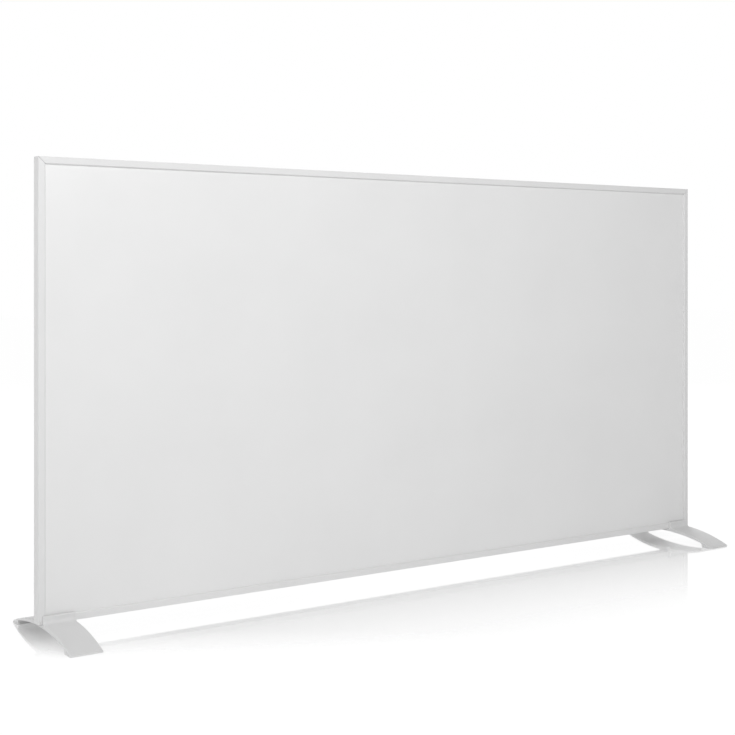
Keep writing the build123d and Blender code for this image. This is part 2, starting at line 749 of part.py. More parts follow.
def arch_disc(crest, half_span, end_z):
    """A disc whose top arc has its crest at one height and falls to another at half_span."""
    r = arc_radius(half_span, crest - end_z)
    return Pos(0, crest - r) * Circle(r)


def foot_profile():
    """The foot's outline in Y and Z: an arch with solid toes and a channel that holds the panel."""
    arch = arch_disc(foot_crest, foot_tip, pad_proud + toe_end)
    arch &= Pos(0, pad_proud + foot_crest / 2) * Rectangle(2 * foot_tip, foot_crest)
    hollow_top = bottom - saddle_t
    hollow = arch_disc(hollow_top, sole_half, toe_rise) & Rectangle(2 * sole_half, 2 * hollow_top)
    hollow = fillet(hollow.vertices().group_by(Axis.Y)[-1], toe_root_r)
    channel = half_t + foot_fit
    cheek_out = channel + cheek_t
    holder = Pos(0, bottom + cheek_rise / 2) * Rectangle(2 * cheek_out, cheek_rise)
    holder = fillet(holder.vertices().group_by(Axis.Y)[-1], cheek_corner_r)
    profile = arch + holder
    on_cheeks = [v for v in profile.vertices() if abs(abs(v.X) - cheek_out) < foot_fit and v.Y > bottom]
    profile = fillet(ShapeList(on_cheeks).sort_by(Axis.Y)[:2], cheek_root_r)
    return profile - hollow - Pos(0, bottom + cheek_rise) * Rectangle(2 * channel, 2 * cheek_rise)


def shows_from_above(edge):
    """True for an edge of a foot's side that runs along its upper outline."""
    y, z = abs(edge.center().Y), edge.center().Z
    top_r = arc_radius(foot_tip, foot_crest - pad_proud - toe_end)
    arch_z = foot_crest - top_r + sqrt(top_r ** 2 - y ** 2)
    return y > half_t + foot_fit + toe_end / 2 and z > arch_z - toe_end / 2


cheek_corner_r = min(cheek_r, cheek_t * 0.49)
foot = extrude(Plane.YZ * foot_profile(), foot_w / 2, both=True)
foot = fillet([e for e in foot.edges().filter_by(Axis.Z) if abs(e.center().Y) > foot_tip - toe_end], toe_r)
upper_edges = [e for e in foot.faces().filter_by(Axis.X).edges() if shows_from_above(e)]
foot = fillet(upper_edges, min(foot_top_r, cheek_corner_r * 0.97))
hollow_edges = [
    e for e in foot.faces().filter_by(Axis.X).edges()
    if e.center().Z < bottom - saddle_t + foot_fit and abs(e.center().Y) < foot_tip - toe_r
]
foot = fillet(hollow_edges, foot_low_r)
head_seat = bottom - saddle_t + counterbore
for d in (-1, 1):
    hole_x = d * foot_screw_pitch / 2
    foot -= rod_z(foot_screw_r + hole_gap, hole_x, 0, (0, bottom))
    foot -= rod_z(foot_head_r + hole_gap, hole_x, 0, (0, head_seat))
pad_w = foot_w - 2 * pad_side
pads = [Pos(0, s * pad_mid_y, pad_t / 2) * Box(pad_w, pad_len, pad_t) for s in (-1, 1)]
for pad in pads:
    foot -= pad
foot_screw = Rot(180, 0, 0) * pan_screw(
    foot_screw_r, foot_head_r, foot_head_h, bottom + frame_web + key_t - head_seat
)
for side, side_name in ((-1, "left"), (1, "right")):
    parts[f"foot_{side_name}"] = Pos(side * foot_mid_x, 0, 0) * foot
parts["foot_pads"] = [Pos(side * foot_mid_x, 0, 0) * pad for side in (-1, 1) for pad in pads]
parts["foot_screws"] = [Pos(x, 0, head_seat) * foot_screw for x in foot_screw_xs]

# ---------------------------------------------------------------- files

os.makedirs("parts", exist_ok=True)
for name, shape in parts.items():
    solids = shape if isinstance(shape, list) else [shape]
    export_step(Compound([solid for piece in solids for solid in piece.solids()]), f"parts/{name}.step")
print(len(parts), "nodes")
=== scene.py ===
import json
import math

import bmesh
import bpy
from mathutils import Matrix, Vector


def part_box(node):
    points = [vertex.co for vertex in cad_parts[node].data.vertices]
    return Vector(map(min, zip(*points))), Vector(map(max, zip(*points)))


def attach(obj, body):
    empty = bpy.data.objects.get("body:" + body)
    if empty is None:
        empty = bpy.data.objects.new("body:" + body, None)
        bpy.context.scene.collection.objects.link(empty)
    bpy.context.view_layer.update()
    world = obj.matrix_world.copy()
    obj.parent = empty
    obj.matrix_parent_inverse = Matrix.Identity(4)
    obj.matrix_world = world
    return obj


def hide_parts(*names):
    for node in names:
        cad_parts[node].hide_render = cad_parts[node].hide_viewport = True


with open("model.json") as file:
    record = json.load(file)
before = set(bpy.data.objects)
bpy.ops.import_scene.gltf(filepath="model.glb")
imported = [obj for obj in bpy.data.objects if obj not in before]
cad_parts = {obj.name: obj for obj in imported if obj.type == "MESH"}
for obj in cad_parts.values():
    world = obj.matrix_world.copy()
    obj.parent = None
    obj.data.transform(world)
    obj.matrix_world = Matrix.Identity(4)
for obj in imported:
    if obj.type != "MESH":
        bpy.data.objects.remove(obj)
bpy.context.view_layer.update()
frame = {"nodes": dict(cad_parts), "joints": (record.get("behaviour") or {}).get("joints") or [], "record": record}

# An infrared panel heater on two arched feet, seen from its front left.
# Everything is in metres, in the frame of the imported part: X along the panel, the heating
# face towards -Y, +Z up, and the floor at z = 0.

MM = 0.001

# ---------------------------------------------------------------- camera

IMAGE_PX = 735              # side of the square picture
FOCAL_PX = 1332.7
HORIZON_ROW = 273.2         # the camera is level, so this is a shift and not a tilt
SENSOR = 36.0               # side of the sensor, in millimetres
CAMERA_PLACE = (-1.2105, -1.6525, 0.4702)
CAMERA_TURN = -34.24        # degrees about Z


def make_camera():
    data = bpy.data.cameras.new("camera")
    data.sensor_width = SENSOR
    data.lens = FOCAL_PX / IMAGE_PX * SENSOR
    data.shift_y = (HORIZON_ROW - IMAGE_PX / 2) / IMAGE_PX
    camera = bpy.data.objects.new("camera", data)
    camera.location = CAMERA_PLACE
    camera.rotation_euler = (math.radians(90), 0, math.radians(CAMERA_TURN))
    bpy.context.scene.collection.objects.link(camera)
    bpy.context.scene.camera = camera


make_camera()
bpy.context.scene.view_settings.view_transform = "Standard"


# ---------------------------------------------------------------- node materials

class Finish:
    """A material of nodes round one Principled shader, with its patterns in object space."""

    def __init__(self, name, **sockets):
        self.material = bpy.data.materials.new(name)
        self.material.use_nodes = True
        self.tree = self.material.node_tree
        self.shader = self.tree.nodes["Principled BSDF"]
        self.where = self.tree.nodes.new("ShaderNodeTexCoord").outputs["Object"]
        for socket, value in sockets.items():
            self.shader.inputs[socket.replace("_", " ")].default_value = value

    def node(self, kind, **values):
        """A shader node of a kind, with its properties set."""
        made = self.tree.nodes.new("ShaderNode" + kind)
        for name, value in values.items():
            setattr(made, name, value)
        return made

    def feed(self, source, target):
        self.tree.links.new(source, target)

    def stretched(self, factors):
        """Coordinates drawn out along an axis by a small factor there."""
        mapping = self.node("Mapping")
        mapping.inputs["Scale"].default_value = factors
        self.feed(self.where, mapping.inputs["Vector"])
        return mapping.outputs["Vector"]

    def noise(self, per_metre, detail, roughness=0.5, along=None):
        """Cloudy noise, with so many clouds to a metre."""
        made = self.node("TexNoise")
        made.inputs["Scale"].default_value = per_metre
        made.inputs["Detail"].default_value = detail
        made.inputs["Roughness"].default_value = roughness
        self.feed(self.stretched(along) if along else self.where, made.inputs["Vector"])
        return made.outputs["Fac"]

    def cells(self, per_metre, feature="F1"):
        """Distances in a mosaic with so many cells to a metre."""
        made = self.node("TexVoronoi", feature=feature)
        made.inputs["Scale"].default_value = per_metre
        self.feed(self.where, made.inputs["Vector"])
        return made.outputs["Distance"]

    def bands(self, per_metre, direction, distortion=0.0):
        """Soft stripes that follow one another in a direction."""
        made = self.node("TexWave", wave_type="BANDS", bands_direction=direction)
        made.inputs["Scale"].default_value = per_metre
        made.inputs["Distortion"].default_value = distortion
        self.feed(self.where, made.inputs["Vector"])
        return made.outputs["Fac"]

    def colour(self, pattern, *stops, span=(0.3, 0.7)):
        """The shader's colour, from evenly spaced stops as the pattern crosses the span."""
        ramp = self.node("ValToRGB")
        elements = ramp.color_ramp.elements
        while len(elements) < len(stops):
            elements.new(0.5)       # the loop below gives each element its own position
        low, high = span
        for i, stop in enumerate(stops):
            elements[i].position = low + (high - low) * i / (len(stops) - 1)
            elements[i].color = (*stop, 1)
        self.feed(pattern, ramp.inputs["Fac"])
        self.feed(ramp.outputs["Color"], self.shader.inputs["Base Color"])

    def roughness(self, pattern, low, high):
        """Roughness from low to high as the pattern goes from a quarter to three quarters."""
        ranged = self.node("MapRange")
        for name, number in (("From Min", 0.25), ("From Max", 0.75), ("To Min", low), ("To Max", high)):
            ranged.inputs[name].default_value = number
        self.feed(pattern, ranged.inputs["Value"])
        self.feed(ranged.outputs["Result"], self.shader.inputs["Roughness"])

    def relief(self, pattern, depth, strength):
        """Relief of a depth in metres, laid over any relief made before it."""
        made = self.node("Bump")
        made.inputs["Distance"].default_value = depth
        made.inputs["Strength"].default_value = strength
        normal = self.shader.inputs["Normal"]
        if normal.is_linked:
            self.feed(normal.links[0].from_socket, made.inputs["Normal"])
        self.feed(pattern, made.inputs["Height"])
        self.feed(made.outputs["Normal"], normal)


def grey(value):
    return (value, value, value)


def tinted(colour, factor):
    return tuple(min(1.0, c * factor) for c in colour)


def mottled(colour, darker, lighter):
    """Three stops of one colour, for a pattern that runs from darker to lighter."""
    return tinted(colour, darker), colour, tinted(colour, lighter)


def powder_coat(name, tone, grain, depth, rough, along=None, coat=0.12, sway=0.05):
    """Sprayed and baked paint: a cloudy tone, a fine orange peel and a satin gloss."""
    finish = Finish(name, Coat_Weight=coat, Coat_Roughness=0.25)
    finish.colour(finish.noise(7, detail=3), *mottled(grey(tone), 0.985, 1.012))
    finish.roughness(finish.noise(60, detail=3, along=along), rough - sway, rough + sway)
    finish.relief(finish.noise(grain, detail=2), depth, strength=0.35)
    finish.relief(finish.noise(grain * 5, detail=1), depth * 0.4, strength=0.3)
    return finish.material


def moulded(name, colour, grain, depth, rough):
    """Moulded plastic or rubber with the fine eroded texture of its tool."""
    finish = Finish(name)
    finish.colour(finish.noise(grain * 0.3, detail=3), *mottled(colour, 0.975, 1.015))
    finish.roughness(finish.noise(grain * 0.5, detail=2), rough - 0.06, rough + 0.06)
    finish.relief(finish.cells(grain), depth, strength=0.7)
    return finish.material


def metal(name, colour, rough, along=(1, 1, 1), tarnish=0.88):
    """Bare or plated metal, with drawn lines where one axis is stretched."""
    finish = Finish(name, Metallic=1.0)
    finish.colour(finish.noise(140, detail=4), *mottled(colour, tarnish, 1.05))
    finish.roughness(finish.noise(900, detail=3, along=along), rough - 0.08, rough + 0.1)
    finish.relief(finish.noise(2600, detail=2, along=along), 0.004 * MM, strength=0.6)
    return finish.material


def insulation_pvc(name, colour):
    """The soft, slightly mottled insulation of a lead."""
    finish = Finish(name)
    finish.colour(finish.noise(220, detail=2), *mottled(colour, 0.9, 1.08))
    finish.roughness(finish.noise(600, detail=2), 0.34, 0.5)
    finish.relief(finish.noise(1800, detail=2), 0.01 * MM, strength=0.4)
    return finish.material


def earth_pvc(name, green, yellow):
    """Green insulation with a yellow stripe that winds round it."""
    finish = Finish(name, Roughness=0.42)
    finish.colour(finish.bands(110, "DIAGONAL"), green, green, yellow, yellow, span=(0.42, 0.58))
    finish.relief(finish.noise(1800, detail=2), 0.01 * MM, strength=0.4)
    return finish.material


def lens(name, colour, rough, clear):
    """Clear or smoked plastic that lets a share of the light through."""
    finish = Finish(name, IOR=1.49, Transmission_Weight=clear)
    finish.colour(finish.noise(25, detail=2), *mottled(colour, 0.94, 1.04))
    finish.roughness(finish.noise(90, detail=3), rough, rough + 0.06)
    finish.relief(finish.noise(400, detail=2), 0.002 * MM, strength=0.5)
    return finish.material


def heating_film(name, track, edge, film):
    """Amber film over dark carbon tracks that run up and down."""
    finish = Finish(name, Coat_Weight=0.6, Coat_Roughness=0.12)
    tracks = finish.bands(34, "X", distortion=0.4)
    finish.colour(tracks, track, edge, film, span=(0.2, 0.62))
    finish.roughness(finish.noise(80, detail=3), 0.3, 0.46)
    finish.relief(tracks, 0.03 * MM, strength=0.5)
    return finish.material


def mineral_fibre(name, colour):
    """Pressed mineral wool: short fibres one way and the other, and darker shot."""
    finish = Finish(name)
    fibres = finish.noise(420, detail=4, roughness=0.7, along=(0.12, 1, 1))
    crossing = finish.noise(380, detail=4, roughness=0.7, along=(1, 1, 0.12))
    finish.colour(fibres, *mottled(colour, 0.62, 1.22))
    finish.roughness(finish.noise(300, detail=3), 0.82, 0.96)
    finish.relief(fibres, 0.3 * MM, strength=0.7)
    finish.relief(crossing, 0.25 * MM, strength=0.6)
    return finish.material


def solder_mask(name, track, edge, mask):
    """Green mask over paler copper tracks."""
    finish = Finish(name, Coat_Weight=0.5, Coat_Roughness=0.1)
    tracks = finish.cells(95, "DISTANCE_TO_EDGE")
    finish.colour(tracks, track, edge, mask, span=(0.02, 0.12))
    finish.roughness(finish.noise(120, detail=3), 0.28, 0.4)
    finish.relief(tracks, 0.02 * MM, strength=0.3)
    return finish.material


FRONT_WHITE = 0.76
FRAME_WHITE = 0.72
FOOT_WHITE = 0.685
BACK_WHITE = 0.74
EARTH_GREEN = (0.04, 0.32, 0.05)
EARTH_YELLOW = (0.75, 0.62, 0.04)
FILM_COLOURS = ((0.012, 0.010, 0.009), (0.015, 0.012, 0.010), (0.34, 0.14, 0.03))
MASK_COLOURS = ((0.03, 0.26, 0.09), (0.012, 0.12, 0.04), (0.01, 0.10, 0.035))
ALONG_X = (0.03, 1, 1)      # lines that run along an axis
ALONG_Z = (1, 1, 0.03)

# By material slot. A powder coat or a moulding has its colour, its grains to a metre, the depth
# of its relief and its roughness, a metal its colour and roughness, and a lens also how clear it is.
MATERIALS = {
    "panel_paint": powder_coat("front_satin_white", FRONT_WHITE, 620, 0.012 * MM, 0.31, sway=0.01),
    "frame_paint": powder_coat("frame_satin_white", FRAME_WHITE, 900, 0.012 * MM, 0.6, ALONG_X, coat=0.0),
    "foot_paint": powder_coat("foot_satin_white", FOOT_WHITE, 900, 0.014 * MM, 0.6, coat=0.0),
    "back_paint": powder_coat("back_matt_white", BACK_WHITE, 1100, 0.02 * MM, 0.52),
    "white_plastic": moulded("box_white_plastic", grey(0.72), 1500, 0.02 * MM, 0.46),
    "button_plastic": moulded("button_grey_plastic", grey(0.42), 2200, 0.012 * MM, 0.5),
    "black_plastic": moulded("black_plastic", grey(0.025), 1800, 0.02 * MM, 0.42),
    "ceramic": moulded("glazed_ceramic", (0.74, 0.72, 0.66), 900, 0.01 * MM, 0.3),
    "rubber": moulded("black_rubber", grey(0.03), 1200, 0.03 * MM, 0.8),
    "display_lens": lens("smoked_window", grey(0.5), 0.03, 0.92),
    "light_lens": lens("milky_lens", grey(0.8), 0.25, 0.5),
    "bare_aluminium": metal("bare_aluminium", (0.8, 0.8, 0.81), 0.34, ALONG_X),
    "steel": metal("zinc_plated_steel", (0.6, 0.61, 0.62), 0.3),
    "copper": metal("copper", (0.85, 0.46, 0.3), 0.28, ALONG_X, tarnish=0.7),
    "laminate": heating_film("heating_film", *FILM_COLOURS),
    "mineral_board": mineral_fibre("mineral_board", (0.62, 0.55, 0.42)),
    "lead_red": insulation_pvc("brown_lead", (0.28, 0.07, 0.03)),
    "lead_blue": insulation_pvc("blue_lead", (0.03, 0.12, 0.5)),
    "lead_green": earth_pvc("green_lead", EARTH_GREEN, EARTH_YELLOW),
    "board_green": solder_mask("solder_mask", *MASK_COLOURS),
}
UPRIGHT_PAINT = powder_coat("upright_satin_white", FRAME_WHITE, 900, 0.012 * MM, 0.6, ALONG_Z, coat=0.0)
DISPLAY_BLACK = moulded("display_black", grey(0.012), 1500, 0.01 * MM, 0.24)
PRINT_WHITE = moulded("print_white", grey(0.82), 2600, 0.006 * MM, 0.4)
PAD_RUBBER = moulded("pad_grey_rubber", grey(0.5), 1200, 0.03 * MM, 0.8)
SEGMENT_GREY = moulded("unlit_segment", grey(0.2), 1800, 0.004 * MM, 0.3)


def dress(piece, material):
    piece.data.materials.clear()
    piece.data.materials.append(material)


def dress_nodes():
    """Gives every node of the part the material of its slot, and a few a look of their own."""
    for row in frame["record"]["subparts"]:
        dress(frame["nodes"][row["node"]], MATERIALS[row["material_slot"]])
    for upright in ("frame_left", "frame_right"):
        dress(frame["nodes"][upright], UPRIGHT_PAINT)
    dress(frame["nodes"]["display_module"], DISPLAY_BLACK)
    dress(frame["nodes"]["foot_pads"], PAD_RUBBER)


# ---------------------------------------------------------------- broken edges

MITRED_LENGTHS = ("frame_top", "frame_bottom", "frame_left", "frame_right")
FRAME_EDGE = 0.22 * MM
BOX_EDGE = 0.3 * MM
WINDOW_EDGE = 0.15 * MM
WELD_REACH = 0.002 * MM
EDGE_ANGLE = 38             # degrees between two faces from which an edge is broken


def broken_edge(node, width):
    """Breaks the sharp edges of a node, as a die, a tool or a coat of paint leaves them."""
    piece = frame["nodes"][node]
    weld = piece.modifiers.new("weld", "WELD")
    weld.merge_threshold = WELD_REACH
    bevel = piece.modifiers.new("broken_edge", "BEVEL")
    bevel.width = width
    bevel.segments = 2
    bevel.limit_method = "ANGLE"
    bevel.angle_limit = math.radians(EDGE_ANGLE)
    bevel.use_clamp_overlap = True


def break_edges():
    for node in MITRED_LENGTHS:
        broken_edge(node, FRAME_EDGE)
    broken_edge("control_base", BOX_EDGE)
    broken_edge("display_window", WINDOW_EDGE)


# ---------------------------------------------------------------- printed marks

MARK_WIDTH = 0.52 * MM
MARK_SINK = 0.13 * MM       # how far the middle of a stroke's round section lies under the face
MARK_SIZE = 1.75 * MM       # half the height of a button's mark
ROCKER_MARK_SIZE = 1.45 * MM
RING_GAP = 35               # of the power mark, degrees from straight up to each end of its ring
ROCKER_CROWN = 2.0 * MM     # from the rocker's pivot out to the middle of its face
ROCKER_REACH = 4.0 * MM     # from the middle of the rocker's face to each mark


def stroke(name, body, material, paths, radius):
    """A raised mark: round strokes along the paths, each a list of points and whether it closes."""
    data = bpy.data.curves.new(name, "CURVE")
    data.dimensions = "3D"
    data.bevel_depth = radius
    data.bevel_resolution = 3
    data.use_fill_caps = True
    for points, closed in paths:
        spline = data.splines.new("POLY")
        spline.points.add(len(points) - 1)
        for spot, point in zip(spline.points, points):
            spot.co = (*point, 1)
        spline.use_cyclic_u = closed
    piece = bpy.data.objects.new(name, data)
    bpy.context.scene.collection.objects.link(piece)
    dress(piece, material)
    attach(piece, body)


def arc(radius, start, end, steps):
    """Points (across, up) on an arc about the middle, with angles in degrees from straight up."""
    turns = [math.radians(start + (end - start) * i / steps) for i in range(steps + 1)]
    return [(radius * math.sin(turn), radius * math.cos(turn)) for turn in turns]


def wave(across, height, swing, steps=14):
    """A rising line of warm air, as a full wave about an upright."""
    return [
        (across + swing * math.sin(2 * math.pi * i / steps), height * (2 * i / steps - 1))
        for i in range(steps + 1)
    ]


def button_marks():
    """The mark of each button as paths of (across, up) about its middle, seen from behind."""
    size = MARK_SIZE
    ring = arc(size, RING_GAP, 360 - RING_GAP, 28)
    stem = [(0, size * 0.15), (0, size * 1.2)]
    bar = [(-size, 0), (size, 0)]
    upright = [(0, -size), (0, size)]
    waves = [wave(size * place, size * 0.9, size * 0.22) for place in (-0.8, 0, 0.8)]
    return {"power": [ring, stem], "minus": [bar], "plus": [bar, upright], "mode": waves}


def mark_buttons():
    for name, paths in button_marks().items():
        low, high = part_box("button_" + name)
        middle = (low + high) / 2
        depth = high.y - MARK_SINK
        placed = [
            ([(middle.x - across, depth, middle.z + up) for across, up in points], False)
            for points in paths
        ]
        stroke(f"{name}_mark", "button_" + name, PRINT_WHITE, placed, MARK_WIDTH / 2)


def mark_rocker():
    """A ring on the half that is pressed at rest and a bar on the half that stands out."""
    hinge = next(j for j in frame["joints"] if j["name"] == "rocker_hinge")
    pivot = Vector(hinge["pos_m"])
    tilt = math.radians(hinge["range_deg"][1] / 2)
    size = ROCKER_MARK_SIZE
    marks = {
        "off_mark": (1, arc(size, 0, 345, 23), True),
        "on_mark": (-1, [(0, -size), (0, size)], False),
    }
    turn = Matrix.Rotation(-tilt, 3, "Y")
    for name, (half, points, closed) in marks.items():
        along = turn @ Vector((math.sin(tilt) * half, 0, math.cos(tilt)))
        spot = turn @ Vector((ROCKER_CROWN + ROCKER_REACH * math.tan(tilt), 0, half * ROCKER_REACH))
        out = Vector((along.z, 0, -along.x))
        middle = pivot + spot - out * MARK_SINK
        placed = [middle + Vector((0, across, 0)) + along * up for across, up in points]
        stroke(name, "power_rocker", PRINT_WHITE, [(placed, closed)], MARK_WIDTH / 2)


# ---------------------------------------------------------------- digits of the display

DIGIT_HALF_WIDTH = 3.1 * MM
DIGIT_HALF_HEIGHT = 5.4 * MM
DIGIT_PLACE = 5.6 * MM      # from the middle of the display to the middle of a digit
DIGIT_SLANT = 0.1
DIGIT_RAISE = 0.08 * MM
SEGMENT_HALF = 0.75 * MM    # half the width of a segment
SEGMENT_GAP = 0.25 * MM     # what a segment leaves free at each end
# The segments' middles, across and up in half digits, and whether each stands upright.
SEGMENTS = (
    (0, 1, False), (0, 0, False), (0, -1, False),
    (-1, 0.5, True), (1, 0.5, True), (-1, -0.5, True), (1, -0.5, True),
)


def segment_outline(digit, across, up, upright):
    """Corners (across, up) of one pointed segment, with digit -1 or 1 for the left or right one."""
    middle = (digit * DIGIT_PLACE + across * DIGIT_HALF_WIDTH, up * DIGIT_HALF_HEIGHT)
    run = (DIGIT_HALF_HEIGHT / 2 if upright else DIGIT_HALF_WIDTH) - SEGMENT_GAP
    half = SEGMENT_HALF
    lying = [
        (-run, 0), (half - run, half), (run - half, half),
        (run, 0), (run - half, -half), (half - run, -half),
    ]
    if upright:
        return [(middle[0] + v, middle[1] + u) for u, v in lying]
    return [(middle[0] + u, middle[1] + v) for u, v in lying]


def unlit_digits():
    """Two seven-segment digits on the face of the display, behind its window."""
    low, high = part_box("display_module")
    middle = (low + high) / 2
    mesh = bpy.data.meshes.new("display_digits")
    made = bmesh.new()
    for digit in (-1, 1):
        for across, up, upright in SEGMENTS:
            outline = segment_outline(digit, across, up, upright)
            corners = [(middle.x - a - DIGIT_SLANT * z, high.y, middle.z + z) for a, z in outline]
            face = made.faces.new([made.verts.new(corner) for corner in corners])
            grown = bmesh.ops.extrude_face_region(made, geom=[face])
            lifted = [v for v in grown["geom"] if isinstance(v, bmesh.types.BMVert)]
            bmesh.ops.translate(made, vec=(0, DIGIT_RAISE, 0), verts=lifted)
    bmesh.ops.recalc_face_normals(made, faces=made.faces)
    made.to_mesh(mesh)
    made.free()
    piece = bpy.data.objects.new("display_digits", mesh)
    bpy.context.scene.collection.objects.link(piece)
    dress(piece, SEGMENT_GREY)
    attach(piece, "heater")


# ---------------------------------------------------------------- turned pieces

SMOOTH_ANGLE = 35           # degrees between two faces up to which they are shaded as one

CAP_BORE = 3.6 * MM         # radii of the gland's cap
CAP_SEAT = 6.05 * MM
CAP_EDGE = 1.8 * MM         # rounding of its lower edge
CAP_LEAD_IN = 0.5 * MM
CAP_RIB_FOOT = 0.9 * MM     # from that rounding up to the ribs
CAP_RIB_HEAD = 1.3 * MM     # from the cap's top down to the ribs
CAP_RIM = 0.5 * MM          # height and breadth of the bevel at its top
CAP_RIM_IN = 0.35 * MM
CAP_GROOVES = 18
CAP_GROOVE_DEPTH = 0.6 * MM
CAP_STEPS = 144

INSERT_FLANGE = 5.0 * MM    # radii of a wall insert
INSERT_SLEEVE = 3.5 * MM
INSERT_BORE = 2.1 * MM
INSERT_FLANGE_THICK = 0.8 * MM
INSERT_EDGE = 0.2 * MM      # rolled edge of the flange
THREAD_PITCH = 0.8 * MM
THREAD_DEPTH = 0.36 * MM
THREAD_POINTS = 5           # points of the profile to a turn of the thread
INSERT_STEPS = 60


def turned(name, profile, places, axis, steps, shape):
    """A closed profile of (radius, height) turned about an axis; shape gives a radius by angle."""
    mesh = bpy.data.meshes.new(name)
    made = bmesh.new()
    along = Vector(axis)
    side = along.orthogonal().normalized()
    up = along.cross(side)
    for place in places:
        rings = []
        for step in range(steps):
            angle = 2 * math.pi * step / steps
            out = side * math.cos(angle) + up * math.sin(angle)
            ring = []
            for index, (radius, height) in enumerate(profile):
                reach = shape(index, radius, height, angle)
                ring.append(made.verts.new(Vector(place) + along * height + out * reach))
            rings.append(ring)
        for step in range(steps):
            ring, following = rings[step], rings[(step + 1) % steps]
            for i in range(len(profile)):
                j = (i + 1) % len(profile)
                made.faces.new((ring[i], ring[j], following[j], following[i]))
    bmesh.ops.recalc_face_normals(made, faces=made.faces)
    made.to_mesh(mesh)
    made.free()
    mesh.polygons.foreach_set("use_smooth", [True] * len(mesh.polygons))
    mesh.set_sharp_from_angle(angle=math.radians(SMOOTH_ANGLE))
    piece = bpy.data.objects.new(name, mesh)
    bpy.context.scene.collection.objects.link(piece)
    return piece


def cap_profile(outer, height, seal):
    """The cap's profile, and where in it the two points of the ribbed stretch are."""
    corner = [
        (outer - CAP_EDGE + CAP_EDGE * math.sin(turn), CAP_EDGE - CAP_EDGE * math.cos(turn))
        for turn in (math.radians(degrees) for degrees in range(0, 91, 15))
    ]
    mouth = [(CAP_BORE, CAP_LEAD_IN), (CAP_BORE + CAP_LEAD_IN, 0)]
    ribbed = [(outer, CAP_EDGE + CAP_RIB_FOOT), (outer, height - CAP_RIB_HEAD)]
    rim = [(outer, height - CAP_RIM), (outer - CAP_RIM_IN, height)]
    inside = [(CAP_SEAT, height), (CAP_SEAT, seal), (CAP_BORE, seal)]
    first = len(mouth + corner)
    return mouth + corner + ribbed + rim + inside, (first, first + 1)


def ribbed_gland_cap():
    """The gland's cap with grip ribs round it, in place of the plain one."""
    low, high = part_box("gland_cap")
    seal_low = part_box("gland_seal")[0]
    profile, ribbed = cap_profile((high.x - low.x) / 2, high.z - low.z, seal_low.z - low.z)

    def shape(index, radius, height, angle):
        if index not in ribbed:
            return radius
        return radius - CAP_GROOVE_DEPTH * max(0.0, math.cos(CAP_GROOVES * angle)) ** 0.7

    place = Vector(((low.x + high.x) / 2, (low.y + high.y) / 2, low.z))
    piece = turned("ribbed_gland_cap", profile, [place], (0, 0, 1), CAP_STEPS, shape)
    dress(piece, MATERIALS["white_plastic"])
    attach(piece, "heater")
    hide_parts("gland_cap")


def insert_profile(depth):
    """A wall insert's profile, and where in it the thread starts and ends."""
    edge = INSERT_EDGE
    flange_low = depth - INSERT_FLANGE_THICK
    outside = [
        (INSERT_SLEEVE, 0), (INSERT_SLEEVE, flange_low),
        (INSERT_FLANGE - edge, flange_low), (INSERT_FLANGE, flange_low + edge),
        (INSERT_FLANGE, depth - edge), (INSERT_FLANGE - edge, depth), (INSERT_BORE + 2 * edge, depth),
    ]
    count = int((depth - 3 * edge) / THREAD_PITCH * THREAD_POINTS)
    thread = [(INSERT_BORE, depth - 2 * edge - THREAD_PITCH * i / THREAD_POINTS) for i in range(count)]
    return outside + thread + [(INSERT_BORE + edge, 0)], (len(outside), len(outside) + count - 1)


def threaded_inserts():
    """The four wall inserts, each with a rolled flange edge and a thread in its bore."""
    low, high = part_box("wall_mount_inserts")
    profile, (first, last) = insert_profile(high.y - low.y)

    def shape(index, radius, height, angle):
        if not first < index < last:
            return radius
        phase = (height / THREAD_PITCH - angle / (2 * math.pi)) % 1
        return radius + THREAD_DEPTH * abs(2 * phase - 1)

    places = [
        (x, low.y, z)
        for x in (low.x + INSERT_FLANGE, high.x - INSERT_FLANGE)
        for z in (low.z + INSERT_FLANGE, high.z - INSERT_FLANGE)
    ]
    piece = turned("threaded_inserts", profile, places, (0, 1, 0), INSERT_STEPS, shape)
    dress(piece, MATERIALS["steel"])
    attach(piece, "heater")
    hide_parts("wall_mount_inserts")


dress_nodes()
mark_buttons()
mark_rocker()
unlit_digits()
ribbed_gland_cap()
threaded_inserts()
break_edges()

# ---------------------------------------------------------------- floor and background

AMBIENT = 0.29              # level of the plain light from all round
FLOOR_HALF = 12.0
FLOOR_BOUNCE = 0.8
FLOOR_GLOW = 0.15           # light that the floor gives off to the object
FLOOR_WHITE = 0.97          # light of its own that keeps the floor white to the eye
FLOOR_SHADE = 0.08          # share of the floor that takes shadows
CONTACT_REACH = 0.05        # how far from a surface the painted contact shade reaches on the floor
CONTACT_LEVEL = 0.8         # level of the floor's own light in the painted contact shade, where it is quite covered
CONTACT_SAMPLES = 12
MIRROR_ROUGHNESS = 0.06
MIRROR_MOST = 0.9           # how much of the object the floor mirrors
MIRROR_AXIS = (0.5627, 0.8267)      # way that the mirror image grows towards, on the floor
MIRROR_SPAN = (-0.434, -0.296)      # along that way, from no mirror image to all of it
MIRROR_SIDE = 0.42          # distance from the panel's plane at which it is gone
MIRROR_FALL = 1.5           # power by which it goes over that distance
MIRROR_END = (0.61, 0.75)   # along the panel's plane, from all of it to none past the panel's ends


def maths(tree, operation, first, second):
    made = tree.nodes.new("ShaderNodeMath")
    made.operation = operation
    for socket, value in zip(made.inputs, (first, second)):
        if isinstance(value, float):
            socket.default_value = value
        else:
            tree.links.new(value, socket)
    return made.outputs[0]


def ranged(tree, value, span, result):
    """Value carried from one span to another and held at its ends."""
    made = tree.nodes.new("ShaderNodeMapRange")
    for name, number in zip(("From Min", "From Max", "To Min", "To Max"), (*span, *result)):
        made.inputs[name].default_value = number
    tree.links.new(value, made.inputs["Value"])
    return made.outputs["Result"]


